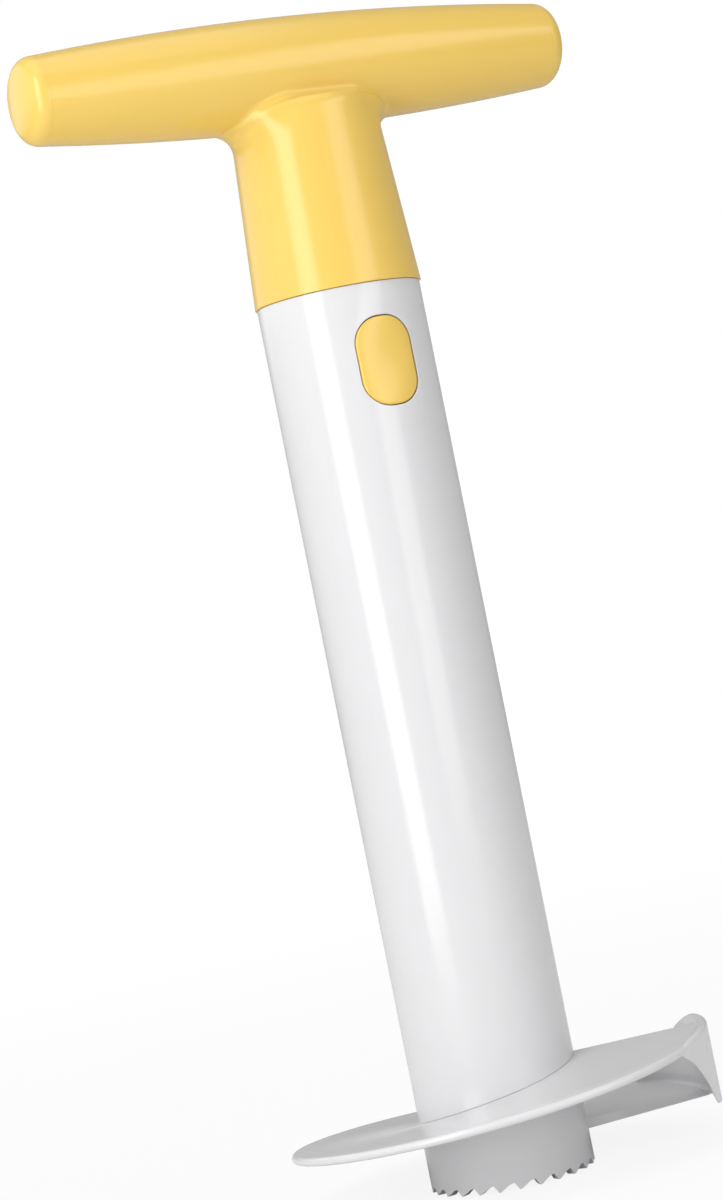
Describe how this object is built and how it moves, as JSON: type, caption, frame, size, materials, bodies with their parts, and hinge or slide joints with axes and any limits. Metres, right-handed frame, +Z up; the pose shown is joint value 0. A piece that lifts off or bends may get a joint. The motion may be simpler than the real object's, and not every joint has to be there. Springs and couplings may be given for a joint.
{
  "type": "pineapple slicer",
  "caption": "Hand pineapple slicer with a T-handle, a hollow shaft, a spiral slicing blade and a toothed corer, with sprung release buttons below the handle.",
  "frame": {"origin": "on the shaft's axis, in the plane of the corer's tooth tips", "axes": "+Z up the shaft to the handle, +X along the handle's bar, -Y through the front button"},
  "size_m": [0.1246, 0.0894, 0.2465],
  "materials": {
    "yellow_plastic": "smooth moulded, gloss",
    "white_plastic": "smooth moulded, gloss",
    "grey_plastic": "fine matt",
    "spring_steel": "bright drawn"
  },
  "bodies": {
    "slicer": {"shaft_tube": "white_plastic", "slicing_head": "white_plastic", "grip_shell": "yellow_plastic", "bar_end_cap_right": "yellow_plastic", "bar_end_cap_left": "yellow_plastic", "latch_plug": "grey_plastic", "latch_cover": "grey_plastic", "button_spring_front": "spring_steel", "button_spring_rear": "spring_steel", "plug_screw_left": "spring_steel", "plug_screw_right": "spring_steel"},
    "front_button": {"button_front": "yellow_plastic"},
    "rear_button": {"button_rear": "yellow_plastic"}
  },
  "joints": [
    {"name": "button_front_press", "type": "slide", "parent": "slicer", "child": "front_button", "axis": [0, 1, 0], "range_m": [0, 0.003], "stiffness_N_per_m": 1200, "springref_m": -0.001, "deforming": ["button_spring_front"]},
    {"name": "button_rear_press", "type": "slide", "parent": "slicer", "child": "rear_button", "axis": [0, -1, 0], "range_m": [0, 0.003], "stiffness_N_per_m": 1200, "springref_m": -0.001, "deforming": ["button_spring_rear"]}
  ]
}
